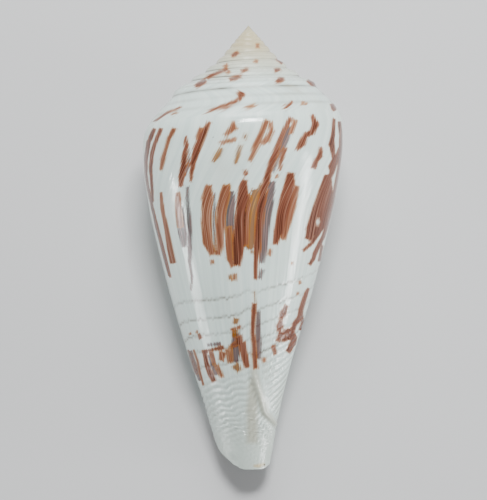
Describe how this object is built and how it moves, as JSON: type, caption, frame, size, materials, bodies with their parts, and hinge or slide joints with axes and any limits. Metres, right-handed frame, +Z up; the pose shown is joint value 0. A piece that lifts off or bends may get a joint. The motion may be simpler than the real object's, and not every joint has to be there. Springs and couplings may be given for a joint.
{
  "type": "cone snail shell",
  "caption": "Empty shell of a large cone snail: a tall turnip-shaped coil with a stepped spire and a long narrow aperture, lying on its aperture with its patterned back up",
  "frame": {"origin": "Centre of the shell's box at its base: the ground that the shell lies on, under the middle of its length and width", "axes": "+Z up, the patterned back up; +Y along the shell toward the spire's apex, +X to the right seen from above with the apex away from the viewer, so the outer lip is on the -X side underneath"},
  "size_m": [0.0542, 0.119, 0.0502],
  "materials": {
    "shell": "gloss"
  },
  "bodies": {
    "root": {"shell": "shell"}
  },
  "joints": []
}
